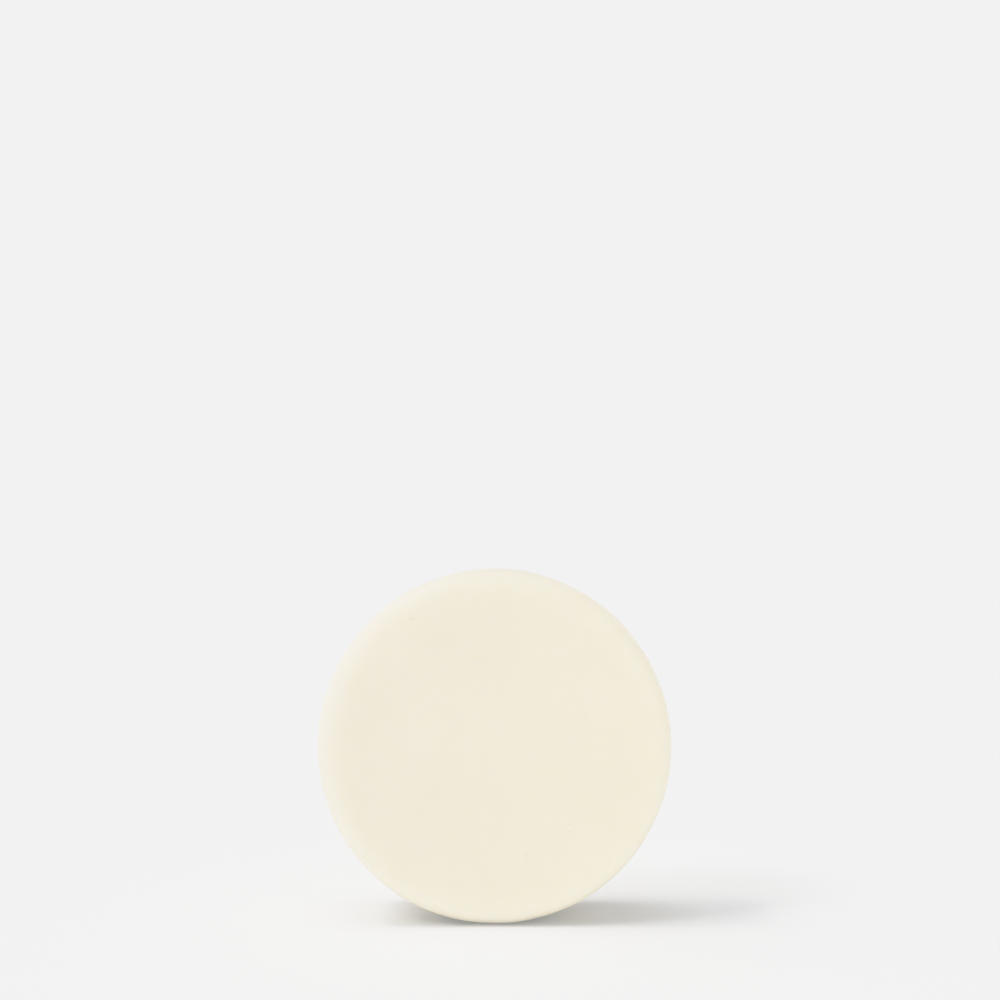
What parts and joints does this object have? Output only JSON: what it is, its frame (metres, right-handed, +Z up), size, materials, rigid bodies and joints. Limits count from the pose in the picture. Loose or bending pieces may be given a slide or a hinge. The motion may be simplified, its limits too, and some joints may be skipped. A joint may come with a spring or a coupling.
{
  "type": "shaving soap puck",
  "caption": "Round hard shaving soap puck with a soft rounded edge, standing on its rim; lathered with a wet brush in a mug or bowl.",
  "frame": {"origin": "lowest point of the rim, under the middle of the thickness, where the puck stands on edge as it was pictured", "axes": "+Z up across the diameter; +Y along the puck's own axis, out of the base face; -Y out of the lather face, which is the face that was pictured"},
  "size_m": [0.064, 0.022, 0.064],
  "materials": {
    "soap": "waxy satin, faintly translucent, ivory cream"
  },
  "bodies": {
    "root": {"soap_puck": "soap"}
  },
  "joints": []
}
